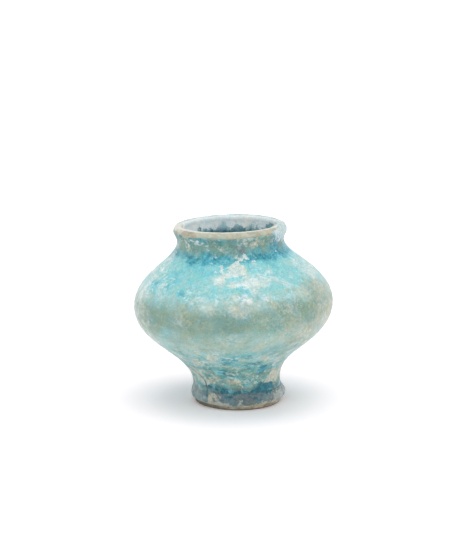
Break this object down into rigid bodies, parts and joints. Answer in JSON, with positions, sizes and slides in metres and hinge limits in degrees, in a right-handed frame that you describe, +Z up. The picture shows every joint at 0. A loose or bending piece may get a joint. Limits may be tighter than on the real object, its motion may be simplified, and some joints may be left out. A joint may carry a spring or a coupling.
{
  "type": "glazed jar",
  "caption": "Small round-bellied jar with a short neck, rolled lip and narrow flat foot, in buff clay under a weathered turquoise glaze.",
  "frame": {"origin": "centre of the foot, on the flat underside that the jar stands on", "axes": "+Z up along the turning axis at the foot, -Y towards the side that the picture shows, +X to its right"},
  "size_m": [0.0986, 0.0986, 0.0912],
  "materials": {
    "buff_clay": "matte, fine-grained, stained tan",
    "turquoise_glaze": "weathered semi-gloss with pale crust and worn patches",
    "pooled_blue_glaze": "thick, uneven semi-gloss",
    "grey_blue_glaze": "dulled semi-gloss with mineral bloom",
    "pale_glaze": "smooth gloss"
  },
  "bodies": {
    "root": {"clay_body": "buff_clay", "outer_glaze": "turquoise_glaze", "foot_glaze_roll": "pooled_blue_glaze", "inner_glaze": "grey_blue_glaze", "lip_glaze_run": "pale_glaze"}
  },
  "joints": []
}
